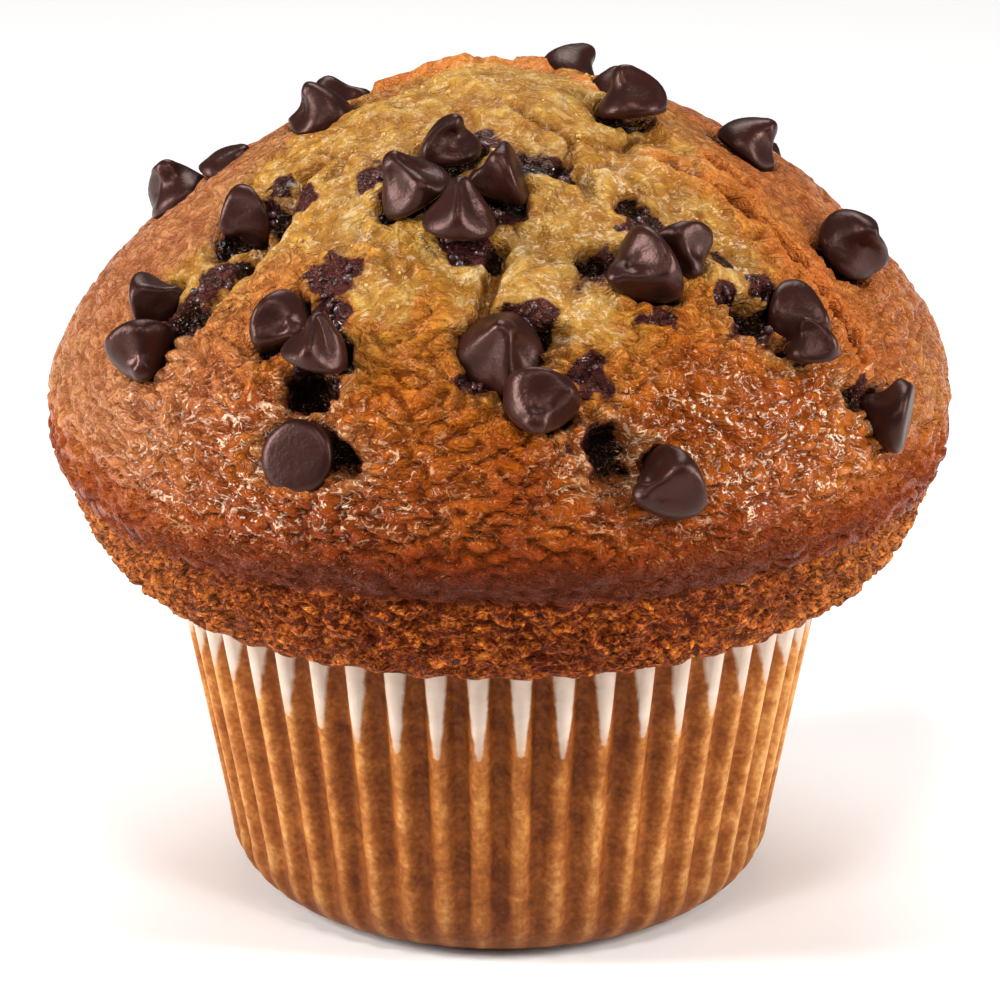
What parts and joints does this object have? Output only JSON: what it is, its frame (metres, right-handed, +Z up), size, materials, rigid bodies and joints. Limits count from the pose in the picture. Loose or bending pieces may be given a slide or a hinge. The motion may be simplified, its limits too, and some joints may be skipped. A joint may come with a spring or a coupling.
{
  "type": "muffin",
  "caption": "Domed muffin studded with dark chocolate chips, baked in a pleated paper case whose flat base it stands on.",
  "frame": {"origin": "middle of the paper case's flat base, on the surface it stands on", "axes": "+Z up through the middle of the dome; -Y towards the side with the open crack in the crown, +X to the right of someone who looks at that side"},
  "size_m": [0.1048, 0.1056, 0.0995],
  "materials": {
    "crumb": "baked crust, glossy orange-brown on the shoulders and pale open crumb on the crown",
    "paper": "white greaseproof paper stained tan and brown by the cake",
    "chocolate": "dark chocolate with a soft sheen"
  },
  "bodies": {
    "root": {"crumb": "crumb", "paper_case": "paper", "chip_crown_1": "chocolate", "chip_crown_2": "chocolate", "chip_crown_3": "chocolate", "chip_crown_4": "chocolate", "chip_front_1": "chocolate", "chip_front_2": "chocolate", "chip_bright_1": "chocolate", "chip_bright_2": "chocolate", "chip_shoulder_1": "chocolate", "chip_shoulder_2": "chocolate", "chip_low_1": "chocolate", "chip_low_2": "chocolate", "chip_low_3": "chocolate", "chip_side_1": "chocolate", "chip_side_2": "chocolate", "chip_top_1": "chocolate", "chip_top_2": "chocolate", "chip_top_3": "chocolate", "chip_ridge_1": "chocolate", "chip_ridge_2": "chocolate", "chip_ridge_3": "chocolate", "chip_ridge_4": "chocolate", "chip_rift_1": "chocolate", "chip_rift_2": "chocolate", "chip_rift_3": "chocolate", "chip_nest_1": "chocolate", "chip_nest_2": "chocolate", "chip_back_1": "chocolate", "chip_back_2": "chocolate", "chip_back_3": "chocolate", "chip_back_4": "chocolate", "chip_back_5": "chocolate", "chip_back_6": "chocolate", "chip_back_7": "chocolate", "chip_back_8": "chocolate", "chip_back_9": "chocolate", "chip_back_10": "chocolate", "chip_back_11": "chocolate", "chip_back_12": "chocolate"}
  },
  "joints": []
}
